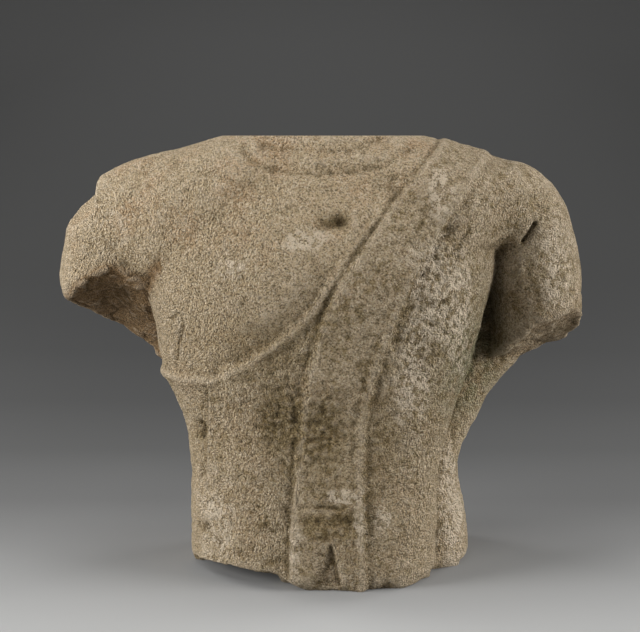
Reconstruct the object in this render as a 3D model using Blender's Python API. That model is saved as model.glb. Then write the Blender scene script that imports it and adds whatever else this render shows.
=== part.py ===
"""Headless sandstone torso of a robed figure, broken off at both arms and at the waist.

One solid block, in metres, +Z up. The chest faces -Y, and +X is the figure's own left.
The form is drawn in millimetres on an upright sheet and then placed by the three driving
sizes, so each of them can be changed by itself.
"""

import bmesh
import bpy
import numpy as np
from mathutils import Vector, noise

# Driving sizes
HEIGHT = 0.429
SPAN = 0.5305
DEPTH = 0.227

# The sizes that the drawing below was made at
DRAWN_HEIGHT, DRAWN_SPAN, DRAWN_DEPTH = 429.0, 530.5, 227.0
UP = HEIGHT / DRAWN_HEIGHT
ACROSS = SPAN / DRAWN_SPAN
DEEP = DEPTH / DRAWN_DEPTH

# Mesh fineness
VOXEL = 0.0040
RING_SIDES = 96
RING_GAP = 4.0
LINE_GAP = 4.0
BLEND_PASSES = 12
SOFTEN_PASSES = 2
MOST_TRIANGLES = 9600

STONE_COLOUR = (0.231, 0.174, 0.107, 1.0)
STONE_ROUGHNESS = 0.95

# Trunk, bottom to top: height, reach to the figure's right and left, to front and back,
# and the squareness of its section on the right and on the left
TRUNK_LINES = (
    (-40, 134, 118, 109, 84, 2.3, 4.4),
    (55, 132, 116, 103, 80, 2.4, 4.0),
    (99, 133, 119, 100, 78, 2.5, 3.4),
    (141, 138, 130, 101, 80, 2.5, 2.9),
    (175, 150, 141, 104, 85, 2.5, 2.6),
    (200, 160, 150, 107, 90, 2.4, 2.5),
    (240, 164, 160, 111, 97, 2.4, 2.4),
    (285, 172, 171, 116, 102, 2.4, 2.4),
    (330, 172, 174, 113, 103, 2.4, 2.4),
    (370, 154, 160, 101, 99, 2.4, 2.4),
    (400, 118, 126, 86, 92, 2.4, 2.4),
    (430, 84, 96, 72, 82, 2.3, 2.3),
    (460, 74, 86, 64, 74, 2.3, 2.3),
)

# Shoulder yoke, right to left: place across, top, bottom, front, back
YOKE_LINES = (
    (-232, 368, 300, 20, 52),
    (-222, 384, 290, 38, 66),
    (-205, 396, 285, 50, 76),
    (-184, 405, 280, 62, 82),
    (-159, 412, 280, 76, 88),
    (-129, 419, 290, 88, 92),
    (-99, 429, 300, 94, 94),
    (-50, 444, 310, 88, 92),
    (50, 447, 310, 88, 92),
    (104, 430, 300, 94, 94),
    (144, 416, 300, 88, 92),
    (164, 410, 310, 76, 88),
    (187, 404, 314, 60, 84),
    (209, 398, 300, 46, 76),
    (229, 382, 290, 34, 64),
    (239, 368, 300, 18, 50),
)
YOKE_SQUARENESS = 2.2

# Arm stumps, bottom to top: height, inner side, outer side, front, back
RIGHT_ARM_LINES = (
    (150, 120, 270, 46, 78),
    (275, 126, 264, 50, 80),
    (321, 130, 258, 52, 80),
    (346, 130, 252, 50, 78),
    (371, 130, 239, 46, 74),
    (388, 132, 222, 38, 66),
    (398, 140, 204, 24, 50),
)
LEFT_ARM_LINES = (
    (150, 172, 267, 40, 78),
    (260, 174, 266, 44, 80),
    (305, 168, 262, 48, 80),
    (341, 154, 253, 48, 78),
    (361, 150, 246, 44, 74),
    (381, 145, 232, 36, 68),
    (396, 140, 210, 24, 52),
)
ARM_SQUARENESS = 2.2

# Stone left standing between trunk and arm, bottom to top: height, outer reach, front, back
LEFT_WEB_LINES = (
    (-40, 154, 56, 76),
    (1, 154, 52, 76),
    (40, 151, 40, 74),
    (85, 143, 24, 72),
    (107, 146, 12, 72),
    (120, 153, 6, 72),
    (143, 168, -4, 74),
    (160, 176, -8, 76),
    (174, 186, -12, 76),
    (195, 205, -16, 78),
    (260, 232, -18, 80),
    (330, 232, -18, 80),
)
RIGHT_WEB_LINES = (
    (150, 235, 14, 78),
    (320, 235, 20, 80),
)
WEB_INNER = 60
WEB_SQUARENESS = 2.6

# Underside of each broken arm: (across, height) along its front and along its back
BREAK_FRONT, BREAK_BACK = -45, 65
RIGHT_BREAK = (
    ((-262, 266), (-248, 277), (-235, 286), (-203, 295), (-172, 284)),
    ((-262, 256), (-238, 239), (-214, 231), (-190, 216), (-166, 195)),
)
LEFT_BREAK = (
    ((166, 222), (210, 244), (255, 266)),
    ((190, 183), (222, 203), (255, 216)),
)
BREAK_REACH = 320
BREAK_CELL = 5.0
BREAK_ROUGH = 2.2
BREAK_GRAIN = 22

# Stone lost in flat breaks: a place on the break, the way it faces, its half sizes in
# its own plane, how far the lost stone reached, and its roughness
LOST_PIECES = (
    ((-230, 8, 360), (-0.66, -0.30, 0.68), (72, 30), 60, 1.2),
    ((-97, -80, 17.5), (-0.155, -0.246, -0.957), (61, 62), 60, 1.6),
)
LOST_GRAIN = 16

# Carved lines, each from the shoulder down, as (across, height)
HEM_LINE = (
    (130, 446), (115, 424), (89, 398), (65, 369), (36, 336), (13, 299),
    (-18, 256), (-50, 230), (-79, 211), (-104, 200), (-144, 198), (-190, 196),
)
SASH_INNER_LINE = (
    (142, 448), (122, 427), (103, 408), (71, 371), (48, 338), (26, 308), (6, 269),
    (-6, 229), (-16, 185), (-21, 135), (-25, 90), (-28, 47), (-29, -20),
)
SASH_OUTER_LINE = (
    (184, 430), (166, 410), (148, 394), (128, 366), (105, 334), (89, 305), (74, 272),
    (60, 235), (49, 200), (42, 160), (40, 115), (41, 54), (44, -20),
)
BORDER_LINE = ((196, 420), (182, 403), (160, 380), (141, 350), (124, 318))
FOLD_LINE = ((132, 300), (112, 240), (94, 170), (82, 100), (76, -20))
NECK_LOW_LINE = (
    (-72, 416), (-62, 405), (-37, 397), (-5, 394.5), (28, 397), (59, 403), (82, 416),
)
NECK_HIGH_LINE = ((-52, 420), (-26, 416.5), (2, 415), (31, 417), (54, 427))
SIDE_LINE = ((-108, 194), (-110, 150), (-111, 100), (-113, 84))
HEM_BACK_LINE = (
    (130, 446), (112, 424), (80, 380), (30, 318), (-30, 262), (-90, 222),
    (-144, 200), (-190, 196),
)
SASH_BACK_INNER_LINE = (
    (142, 448), (120, 424), (103, 380), (92, 300), (86, 200), (82, 90), (82, -20),
)
SASH_BACK_OUTER_LINE = (
    (184, 430), (164, 408), (152, 350), (144, 260), (136, 180), (130, -20),
)

# Carving depths and widths, in drawn millimetres
HEM_RISE, HEM_WIDTH = 3.0, 5.5
HEM_HOLLOW, HEM_HOLLOW_WIDTH = 3.0, 11.0
SASH_RISE, SASH_FOOT_RISE, SASH_EDGE = 3.0, 8.5, 7.0
SASH_THINS, SASH_THINS_OVER = 170, 220
SASH_OUTER_SHARE, ROBE_REACH = 0.45, 70
SASH_END_HEIGHT, SASH_END_DEPTH = 81, 1.8
GROOVE, GROOVE_WIDTH = 2.4, 4.0
ROLL_RISE, ROLL_WIDTH, ROLL_TOP, ROLL_REACH = 2.6, 5.0, 240, 60
BORDER_DEPTH, BORDER_WIDTH = 1.6, 4.0
FOLD_RISE, FOLD_WIDTH = 2.4, 15.0
CREASE, CREASE_WIDTH = 3.4, 4.5
SIDE_DEPTH, SIDE_FOOT, SIDE_TOP, SIDE_FADE = 2.2, 84, 190, 16
TAIL_APEX, TAIL_LEFT_FOOT, TAIL_RIGHT_FOOT = (11, 45), (-13, -6), (23, -6)
TAIL_DEPTH, TAIL_SLOPE = 4.0, 14
SPINE_DEPTH, SPINE_WIDTH, SPINE_FOOT, SPINE_TOP, SPINE_FADE = 4.0, 20, 90, 340, 70

# Soft swellings and hollows: height, centre and reach, both across and up
RIGHT_BREAST = (6.0, (-60, 296), (78, 58))
FRONT_SWELLS = (
    (4.0, (112, 292), (60, 66)),
    (-3.5, (-70, 168), (60, 30)),
    (2.2, (8, 410), (78, 16)),
    (-2.5, (12, 349), (15, 11)),
    (-3.5, (21, 352), (6, 6)),
)
BACK_SWELLS = (
    (5.0, (-84, 318), (44, 50)),
    (4.0, (60, 318), (44, 50)),
)
ARM_HOLLOW = (
    (16.0, (176, 268), (17, 46)),
    (8.0, (168, 315), (14, 30)),
)

# Where the front carving gives way to the back carving, and over what depth
TURN, TURN_DEPTH = 5, 40


def spline(known, values, at):
    """Values at the places `at` of one smooth curve through (known, values)."""
    known = np.asarray(known, float)
    values = np.asarray(values, float)
    slopes = np.gradient(values, known)
    at = np.clip(at, known[0], known[-1])
    i = np.clip(np.searchsorted(known, at) - 1, 0, len(known) - 2)
    step = known[i + 1] - known[i]
    t = (at - known[i]) / step
    return (
        (2 * t**3 - 3 * t**2 + 1) * values[i]
        + (t**3 - 2 * t**2 + t) * step * slopes[i]
        + (3 * t**2 - 2 * t**3) * values[i + 1]
        + (t**3 - t**2) * step * slopes[i + 1]
    )


def stations(lines):
    """The drawn lines read off at even gaps: first column, then the others."""
    table = np.array(lines, float)
    count = int(np.ptp(table[:, 0]) / RING_GAP) + 2
    at = np.linspace(table[0, 0], table[-1, 0], count)
    return [at] + [spline(table[:, 0], column, at) for column in table.T[1:]]


def rounded(squareness):
    """Cosines and sines of a superellipse, once round."""
    turn = np.linspace(0, 2 * np.pi, RING_SIDES, endpoint=False)
    power = 2 / squareness
    cos, sin = np.cos(turn), np.sin(turn)
    return (
        np.sign(cos) * np.abs(cos) ** power,
        np.sign(sin) * np.abs(sin) ** power,
    )


def new_object(name, bm):
    """A linked object that takes over the mesh being edited, facing outwards."""
    bmesh.ops.recalc_face_normals(bm, faces=bm.faces)
    mesh = bpy.data.meshes.new(name)
    bm.to_mesh(mesh)
    bm.free()
    obj = bpy.data.objects.new(name, mesh)
    bpy.context.scene.collection.objects.link(obj)
    return obj


def lofted(name, rings):
    """A closed skin over the rings, which are (sides, 3) arrays in metres."""
    bm = bmesh.new()
    rows = [[bm.verts.new(point) for point in ring] for ring in rings]
    for low, high in zip(rows, rows[1:]):
        for i in range(RING_SIDES):
            j = (i + 1) % RING_SIDES
            bm.faces.new((low[i], low[j], high[j], high[i]))
    bm.faces.new(rows[0][::-1])
    bm.faces.new(rows[-1])
    return new_object(name, bm)


def trunk():
    """Waist, ribs and chest up to the neck."""
    rings = []
    for z, right, left, front, back, square_right, square_left in zip(
        *stations(TRUNK_LINES)
    ):
        cos_right, sin_right = rounded(square_right)
        cos_left, sin_left = rounded(square_left)
        x = np.where(cos_right < 0, right * cos_right, left * cos_left)
        sin = np.where(cos_right < 0, sin_right, sin_left)
        y = np.where(sin < 0, front, back) * sin
        rings.append(np.stack([x * ACROSS, y * DEEP, np.full_like(x, z * UP)], axis=1))
    return lofted("trunk", rings)


def yoke():
    """The slope from the neck over both shoulders."""
    cos, sin = rounded(YOKE_SQUARENESS)
    rings = []
    for x, top, bottom, front, back in zip(*stations(YOKE_LINES)):
        y = np.where(cos < 0, front, back) * cos
        z = (top + bottom) / 2 + (top - bottom) / 2 * sin
        rings.append(np.stack([np.full_like(y, x * ACROSS), y * DEEP, z * UP], axis=1))
    return lofted("yoke", rings)


def upright(name, lines, squareness, side, inner=None):
    """Level rings between an inner and an outer side. Side is -1 or +1."""
    if inner is not None:
        lines = [(row[0], inner) + row[1:] for row in lines]
    cos, sin = rounded(squareness)
    rings = []
    for z, near, far, front, back in zip(*stations(lines)):
        x = side * ((near + far) / 2 + (far - near) / 2 * cos)
        y = (back - front) / 2 + (back + front) / 2 * sin
        rings.append(np.stack([x * ACROSS, y * DEEP, np.full_like(x, z * UP)], axis=1))
    return lofted(name, rings)


def rough_block(name, grid, bottom):
    """A block whose one face is the grid of points and whose far side is at `bottom`."""
    bm = bmesh.new()
    rows = [[bm.verts.new(point) for point in row] for row in grid]
    for row, following in zip(rows, rows[1:]):
        for a, b, c, d in zip(row, following, following[1:], row[1:]):
            bm.faces.new((a, b, c, d))
    rim = bmesh.ops.extrude_edge_only(bm, edges=[e for e in bm.edges if e.is_boundary])
    for part in rim["geom"]:
        if isinstance(part, bmesh.types.BMVert):
            part.co = bottom(part.co)
    far = [e for e in rim["geom"] if isinstance(e, bmesh.types.BMEdge) and e.is_boundary]
    bmesh.ops.contextual_create(bm, geom=far)
    return new_object(name, bm)


def roughness(x, y, z, depth, grain):
    """Broken stone: a height that wanders by about `depth`, over lumps of size `grain`."""
    return depth * noise.fractal(Vector((x, y, z)) / grain, 1.0, 2.0, 3)


def arm_break(name, edges, side):
    """The space below a broken arm: a block whose rough top is the face of the break."""
    front_line, back_line = (sorted(edge) for edge in edges)
    count = int(BREAK_REACH / BREAK_CELL)
    near, far = 0.30 * BREAK_REACH, BREAK_REACH
    grid = []
    for i in range(count + 1):
        x = side * (near + (far - near) * i / count)
        front = float(spline(*zip(*front_line), x))
        back = float(spline(*zip(*back_line), x))
        row = []
        for j in range(count + 1):
            y = BREAK_REACH * (j / count - 0.5)
            share = np.clip((y - BREAK_FRONT) / (BREAK_BACK - BREAK_FRONT), -0.3, 1.3)
            z = front + (back - front) * share
            z += roughness(x, y, z, BREAK_ROUGH, BREAK_GRAIN)
            row.append((x * ACROSS, y * DEEP, z * UP))
        grid.append(row)
    return rough_block(name, grid, lambda co: Vector((co.x, co.y, -0.2 * HEIGHT)))


def lost_piece(name, place, facing, half_sizes, reach, rough):
    """Stone outside a flat break: a block whose rough face lies on the break."""
    facing = Vector(facing).normalized()
    level = facing.cross((1, 0, 0)).cross(facing).normalized()
    steep = facing.cross(level)
    if abs(facing.x) > 0.5:
        level = facing.cross((0, 1, 0)).cross(facing).normalized()
        steep = facing.cross(level)
    scale = Vector((ACROSS, DEEP, UP))
    counts = [int(2 * half / BREAK_CELL) + 1 for half in half_sizes]
    grid = []
    for i in range(counts[0] + 1):
        row = []
        for j in range(counts[1] + 1):
            along = half_sizes[0] * (2 * i / counts[0] - 1)
            over = half_sizes[1] * (2 * j / counts[1] - 1)
            point = Vector(place) + level * along + steep * over
            point += facing * roughness(*point, rough, LOST_GRAIN)
            row.append(point * scale)
        grid.append(row)
    return rough_block(name, grid, lambda co: co + facing * reach * scale.z)


def drawn(points):
    """Even points along one smooth curve through the drawn points."""
    points = np.array(points, float)
    run = np.append(0, np.cumsum(np.hypot(*np.diff(points, axis=0).T)))
    at = np.linspace(0, run[-1], int(run[-1] / LINE_GAP) + 2)
    return np.stack([spline(run, column, at) for column in points.T], axis=1)


def beside(line, x, z):
    """Distance from a drawn line, positive towards the figure's left or below it."""
    points = drawn(line)
    nearest = np.full(x.shape, np.inf)
    side = np.ones(x.shape)
    for (x0, z0), (x1, z1) in zip(points, points[1:]):
        run_x, run_z = x1 - x0, z1 - z0
        share = ((x - x0) * run_x + (z - z0) * run_z) / (run_x**2 + run_z**2)
        share = np.clip(share, 0, 1)
        off_x, off_z = x - x0 - share * run_x, z - z0 - share * run_z
        apart = off_x**2 + off_z**2
        closer = apart < nearest
        nearest = np.where(closer, apart, nearest)
        side = np.where(closer, np.sign(run_x * off_z - run_z * off_x), side)
    return side * np.sqrt(nearest)


def ridge(distance, width):
    """A rounded crest of height 1 along distance 0."""
    return np.exp(-((distance / width) ** 2))


def rise(distance, width):
    """Goes from 0 to 1 over `width`, half way at distance 0."""
    t = np.clip(distance / width + 0.5, 0, 1)
    return t * t * (3 - 2 * t)


def swell(shape, x, z):
    """A soft swelling or hollow about its centre."""
    height, centre, reach = shape
    return height * np.exp(
        -(((x - centre[0]) / reach[0]) ** 2) - ((z - centre[1]) / reach[1]) ** 2
    )


def hem(line, x, z):
    """The rolled edge of the robe, with the bare chest dipping in above it."""
    edge = beside(line, x, z)
    return HEM_RISE * ridge(edge, HEM_WIDTH) - HEM_HOLLOW * ridge(
        edge + 2.2 * HEM_WIDTH, HEM_HOLLOW_WIDTH
    )


def sash(inner, outer, z):
    """The folded sash, thicker at its foot, with a roll along its outer edge."""
    thins = rise(z - SASH_THINS, SASH_THINS_OVER)
    thick = SASH_FOOT_RISE + (SASH_RISE - SASH_FOOT_RISE) * thins
    beyond = 1 - (1 - SASH_OUTER_SHARE) * rise(outer, SASH_EDGE)
    fading = 1 - rise(outer - ROBE_REACH / 2, ROBE_REACH)
    relief = thick * rise(inner, SASH_EDGE) * beyond * fading
    relief -= GROOVE * ridge(inner + 0.6 * SASH_EDGE, GROOVE_WIDTH)
    relief += ROLL_RISE * ridge(outer + 0.5 * ROLL_WIDTH, ROLL_WIDTH)
    relief -= GROOVE * ridge(outer - ROLL_WIDTH, GROOVE_WIDTH)
    roll_start = rise(ROLL_TOP - z, ROLL_REACH)
    return relief - GROOVE * ridge(outer + 2.2 * ROLL_WIDTH, GROOVE_WIDTH) * roll_start


def sash_end(inner, outer, z):
    """The level crease where the end of the sash hangs over its lower fold."""
    across = rise(inner - SASH_EDGE, SASH_EDGE) * rise(-outer - 4 * ROLL_WIDTH, SASH_EDGE)
    return -SASH_END_DEPTH * ridge(z - SASH_END_HEIGHT, GROOVE_WIDTH) * across


def fishtail(x, z):
    """The hollow between the two tails at the foot of the sash."""
    left = beside((TAIL_APEX, TAIL_LEFT_FOOT), x, z)
    right = beside((TAIL_APEX, TAIL_RIGHT_FOOT), x, z)
    below = rise(TAIL_APEX[1] - z, GROOVE_WIDTH)
    hollow = rise(left, TAIL_SLOPE) * rise(-right, GROOVE_WIDTH)
    return -below * (TAIL_DEPTH * hollow + GROOVE * ridge(right, GROOVE_WIDTH))


def side_strip(x, z):
    """The set-back strip down the figure's right side below the hem."""
    strip = rise(-beside(SIDE_LINE, x, z), GROOVE_WIDTH)
    return -SIDE_DEPTH * strip * rise(z - SIDE_FOOT, SIDE_FADE) * rise(SIDE_TOP - z, SIDE_FADE)


def front_relief(x, z):
    """Height of the carving on the chest side."""
    inner = beside(SASH_INNER_LINE, x, z)
    outer = beside(SASH_OUTER_LINE, x, z)
    above_hem = rise(-beside(HEM_LINE, x, z) - HEM_WIDTH, 4 * HEM_WIDTH)
    relief = swell(RIGHT_BREAST, x, z) * above_hem
    relief += sum(swell(shape, x, z) for shape in FRONT_SWELLS)
    relief += hem(HEM_LINE, x, z) + sash(inner, outer, z)
    relief += sash_end(inner, outer, z) + fishtail(x, z) + side_strip(x, z)
    relief -= BORDER_DEPTH * ridge(beside(BORDER_LINE, x, z), BORDER_WIDTH)
    relief += FOLD_RISE * ridge(beside(FOLD_LINE, x, z), FOLD_WIDTH)
    for line in (NECK_LOW_LINE, NECK_HIGH_LINE):
        relief -= CREASE * ridge(beside(line, x, z), CREASE_WIDTH)
    return relief


def back_relief(x, z):
    """Height of the plainer carving on the back."""
    inner = beside(SASH_BACK_INNER_LINE, x, z)
    outer = beside(SASH_BACK_OUTER_LINE, x, z)
    relief = hem(HEM_BACK_LINE, x, z) + sum(swell(shape, x, z) for shape in BACK_SWELLS)
    spine = rise(z - SPINE_FOOT, SPINE_FADE) * rise(SPINE_TOP - z, SPINE_FADE)
    relief -= SPINE_DEPTH * ridge(x, SPINE_WIDTH) * spine
    relief += SASH_RISE * rise(inner, SASH_EDGE) * rise(-outer, SASH_EDGE)
    for edge in (-inner, outer):
        relief -= GROOVE * ridge(edge - 0.6 * SASH_EDGE, GROOVE_WIDTH)
    return relief


def arm_hollow(x, y, z):
    """How far back the deep hollow between the chest and the left arm is cut."""
    return sum(swell(shape, x, z) for shape in ARM_HOLLOW) * rise(TURN - y, TURN_DEPTH)


def carve(mesh):
    """Moves the points of a smooth mesh out or in by the carving."""
    count = 3 * len(mesh.vertices)
    points = np.empty(count, np.float32)
    normals = np.empty(count, np.float32)
    mesh.vertices.foreach_get("co", points)
    mesh.vertex_normals.foreach_get("vector", normals)
    points = points.reshape(-1, 3).astype(float)
    x, y, z = (points / (ACROSS, DEEP, UP)).T
    behind = rise(y - TURN, TURN_DEPTH)
    relief = (1 - behind) * front_relief(x, z) + behind * back_relief(x, z)
    points += normals.reshape(-1, 3) * (relief * DEEP)[:, None]
    points[:, 1] += arm_hollow(x, y, z) * DEEP
    mesh.vertices.foreach_set("co", points.ravel())
    mesh.update()


def baked(obj):
    """The object's mesh with its modifiers applied."""
    graph = bpy.context.evaluated_depsgraph_get()
    return bpy.data.meshes.new_from_object(obj.evaluated_get(graph))


def apply_all(obj):
    obj.data = baked(obj)
    obj.modifiers.clear()


def cut_away(obj, cutter):
    """Takes the cutter's space out of the object, and the cutter out of the scene."""
    modifier = obj.modifiers.new("cut", "BOOLEAN")
    modifier.operation = "DIFFERENCE"
    modifier.object = cutter
    apply_all(obj)
    bpy.data.objects.remove(cutter)


def block():
    """Trunk, shoulders and arm stumps, joined into one skin and blended."""
    arms = [
        upright("right_arm", RIGHT_ARM_LINES, ARM_SQUARENESS, -1),
        upright("right_web", RIGHT_WEB_LINES, WEB_SQUARENESS, -1, WEB_INNER),
        upright("left_arm", LEFT_ARM_LINES, ARM_SQUARENESS, +1),
    ]
    for obj in arms:
        edges, side = (LEFT_BREAK, +1) if obj.name == "left_arm" else (RIGHT_BREAK, -1)
        cut_away(obj, arm_break("arm_break", edges, side))
    left_web = upright("left_web", LEFT_WEB_LINES, WEB_SQUARENESS, +1, WEB_INNER)
    whole = bmesh.new()
    for obj in [trunk(), yoke(), left_web] + arms:
        whole.from_mesh(obj.data)
        bpy.data.objects.remove(obj)
    torso = new_object("torso", whole)
    skin = torso.modifiers.new("one_skin", "REMESH")
    skin.mode = "VOXEL"
    skin.voxel_size = VOXEL
    blend = torso.modifiers.new("blend", "SMOOTH")
    blend.iterations = BLEND_PASSES
    apply_all(torso)
    return torso


def level_cut(mesh, height, facing):
    """Cuts the block off flat at a height and closes it there."""
    bm = bmesh.new()
    bm.from_mesh(mesh)
    cut = bmesh.ops.bisect_plane(
        bm, geom=bm.verts[:] + bm.edges[:] + bm.faces[:],
        plane_co=(0, 0, height), plane_no=(0, 0, facing), clear_outer=True,
    )
    rim = [part for part in cut["geom_cut"] if isinstance(part, bmesh.types.BMEdge)]
    bmesh.ops.contextual_create(bm, geom=rim)
    bm.to_mesh(mesh)
    bm.free()


def centre(mesh):
    """Moves the block so that its middle, seen from above, is at the origin."""
    points = np.array([vert.co for vert in mesh.vertices])
    middle = (points.min(axis=0) + points.max(axis=0)) / 2
    points[:, :2] -= middle[:2]
    mesh.vertices.foreach_set("co", points.ravel())
    mesh.update()


def sandstone():
    material = bpy.data.materials.new("sandstone")
    material.use_nodes = True
    shader = material.node_tree.nodes["Principled BSDF"]
    shader.inputs["Base Color"].default_value = STONE_COLOUR
    shader.inputs["Roughness"].default_value = STONE_ROUGHNESS
    shader.inputs["Metallic"].default_value = 0.0
    return material


def main():
    for old in list(bpy.data.objects):
        bpy.data.objects.remove(old)
    torso = block()
    carve(torso.data)
    soften = torso.modifiers.new("soften", "SMOOTH")
    soften.iterations = SOFTEN_PASSES
    apply_all(torso)
    for number, piece in enumerate(LOST_PIECES):
        cut_away(torso, lost_piece(f"lost_{number}", *piece))
    fewer = torso.modifiers.new("fewer_faces", "DECIMATE")
    torso.data.calc_loop_triangles()
    fewer.ratio = MOST_TRIANGLES / len(torso.data.loop_triangles)
    apply_all(torso)
    level_cut(torso.data, 0.0, -1)
    level_cut(torso.data, HEIGHT, +1)
    centre(torso.data)
    torso.data.shade_smooth()
    torso.data.materials.append(sandstone())


main()
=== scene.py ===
"""Looks of the sandstone torso: the block at full carving depth, its stone, floor and light.

The form is drawn in millimetres on an upright sheet, as the block was set out, and placed
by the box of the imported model. The chest faces -Y, and +X is the figure's own left.
"""

from math import atan, radians

import bmesh
import bpy
import numpy as np
from mathutils import Matrix, Vector, noise


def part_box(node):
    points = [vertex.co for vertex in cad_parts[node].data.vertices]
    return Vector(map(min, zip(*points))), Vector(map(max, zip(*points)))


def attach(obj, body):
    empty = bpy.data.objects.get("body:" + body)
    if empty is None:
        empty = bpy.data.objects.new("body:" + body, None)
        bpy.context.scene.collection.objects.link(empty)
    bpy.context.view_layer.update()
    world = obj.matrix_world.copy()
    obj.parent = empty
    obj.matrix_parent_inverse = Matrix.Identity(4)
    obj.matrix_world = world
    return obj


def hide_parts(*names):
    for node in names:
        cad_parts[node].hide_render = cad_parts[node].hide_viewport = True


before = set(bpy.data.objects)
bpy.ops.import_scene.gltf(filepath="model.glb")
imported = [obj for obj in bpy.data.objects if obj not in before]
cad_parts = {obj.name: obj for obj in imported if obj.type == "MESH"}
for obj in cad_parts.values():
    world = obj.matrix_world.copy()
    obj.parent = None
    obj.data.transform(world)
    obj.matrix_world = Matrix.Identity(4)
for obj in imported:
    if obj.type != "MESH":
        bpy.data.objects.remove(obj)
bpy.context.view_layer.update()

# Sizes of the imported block, and of the drawing that it was made from, in millimetres
LOW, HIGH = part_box("torso")
DRAWN = Vector((530.5, 227.0, 429.0))
SCALE = Vector([(HIGH[i] - LOW[i]) / DRAWN[i] for i in range(3)])
ACROSS, DEEP, UP = SCALE
HEIGHT = HIGH.z - LOW.z

# The drawing's upright axis, seen from the middle of the block
AXIS = Vector((-1.07, 6.74, 0.0))

# Mesh fineness: the voxels in metres, the gaps along lines in drawn millimetres
VOXEL = 0.0018
RING_SIDES = 128
RING_GAP = 3.0
LINE_GAP = 3.0
BLEND_PASSES = 62
SOFTEN_PASSES = 1
MOST_TRIANGLES = 194000

# Trunk, bottom to top: height, reach to the figure's right and left, to front and back,
# and the squareness of its section on the right and on the left
TRUNK_LINES = (
    (-40, 134, 118, 109, 84, 2.3, 4.4),
    (55, 132, 116, 103, 80, 2.4, 4.0),
    (99, 133, 119, 100, 78, 2.5, 3.4),
    (141, 138, 130, 101, 80, 2.5, 2.9),
    (175, 150, 141, 104, 85, 2.5, 2.6),
    (200, 160, 150, 107, 90, 2.4, 2.5),
    (240, 164, 160, 111, 97, 2.4, 2.4),
    (285, 172, 171, 116, 102, 2.4, 2.4),
    (330, 172, 174, 113, 103, 2.4, 2.4),
    (370, 154, 160, 101, 99, 2.4, 2.4),
    (400, 118, 126, 86, 92, 2.4, 2.4),
    (430, 84, 96, 72, 82, 2.3, 2.3),
    (460, 74, 86, 64, 74, 2.3, 2.3),
)

# Shoulder yoke, right to left: place across, top, bottom, front, back
YOKE_LINES = (
    (-232, 368, 300, 20, 52),
    (-222, 384, 290, 38, 66),
    (-205, 396, 285, 50, 76),
    (-184, 405, 280, 62, 82),
    (-159, 412, 280, 76, 88),
    (-129, 419, 290, 88, 92),
    (-99, 429, 300, 94, 94),
    (-50, 444, 310, 88, 92),
    (50, 447, 310, 88, 92),
    (104, 430, 300, 94, 94),
    (144, 416, 300, 88, 92),
    (164, 410, 310, 76, 88),
    (187, 404, 314, 60, 84),
    (209, 398, 300, 46, 76),
    (229, 382, 290, 34, 64),
    (239, 368, 300, 18, 50),
)
YOKE_SQUARENESS = 2.2

# Arm stumps, bottom to top: height, inner side, outer side, front, back
RIGHT_ARM_LINES = (
    (150, 120, 236, 40, 74),
    (250, 124, 247, 46, 78),
    (272, 126, 260, 50, 80),
    (321, 130, 258, 52, 80),
    (346, 130, 252, 50, 78),
    (371, 130, 239, 46, 74),
    (388, 132, 222, 38, 66),
    (398, 140, 204, 24, 50),
)
LEFT_ARM_LINES = (
    (150, 172, 267, 40, 78),
    (260, 174, 266, 44, 80),
    (305, 168, 262, 48, 80),
    (341, 154, 253, 48, 78),
    (361, 150, 246, 44, 74),
    (381, 145, 232, 36, 68),
    (396, 140, 210, 24, 52),
)
ARM_SQUARENESS = 2.2

# Stone left standing between trunk and arm, bottom to top: height, outer reach, front, back
LEFT_WEB_LINES = (
    (-40, 154, 56, 76),
    (1, 154, 52, 76),
    (40, 151, 40, 74),
    (85, 143, 24, 72),
    (107, 146, 12, 72),
    (120, 153, 6, 72),
    (143, 168, -4, 74),
    (160, 176, -8, 76),
    (174, 186, -12, 76),
    (195, 205, -16, 78),
    (260, 232, -18, 80),
    (330, 232, -18, 80),
)
RIGHT_WEB_LINES = (
    (150, 235, 14, 78),
    (320, 235, 20, 80),
)
WEB_INNER = 60
WEB_SQUARENESS = 2.6

# Underside of each broken arm: (across, height) along its front and along its back
BREAK_FRONT, BREAK_BACK = -45, 65
RIGHT_BREAK = (
    ((-262, 266), (-248, 277), (-235, 286), (-203, 295), (-172, 284)),
    ((-262, 256), (-238, 239), (-214, 231), (-190, 216), (-166, 195)),
)
LEFT_BREAK = (
    ((166, 222), (210, 244), (255, 266)),
    ((190, 183), (222, 203), (255, 216)),
)
BREAK_REACH = 320
BREAK_CELL = 5.0
BREAK_ROUGH, BREAK_GRAIN = 2.4, 22

# The block that cuts an arm off starts at this share of its reach, slopes on past the
# drawn edges by this share of their gap, and ends this share of the height below the foot
CUTTER_INNER, CUTTER_PAST, CUTTER_DROP = 0.30, 0.3, 0.2

# The skin is blended in steps of strength, least of all this near a break
BREAK_EDGE, BREAK_SOFT, SOFT_STEPS = 12, 0.45, 10

# Where an arm starts, outwards and upwards, and what stands for a break that is far away
RIGHT_ARM_FROM, LEFT_ARM_FROM, ARMS_ABOVE = -150, 178, 170
FAR_FROM_BREAK = 200.0

# Lumps of broken stone: how fast finer layers fade, how much finer each is, their number
ROUGH_FADE, ROUGH_FINER, ROUGH_LAYERS = 1.0, 2.0, 4

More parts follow.
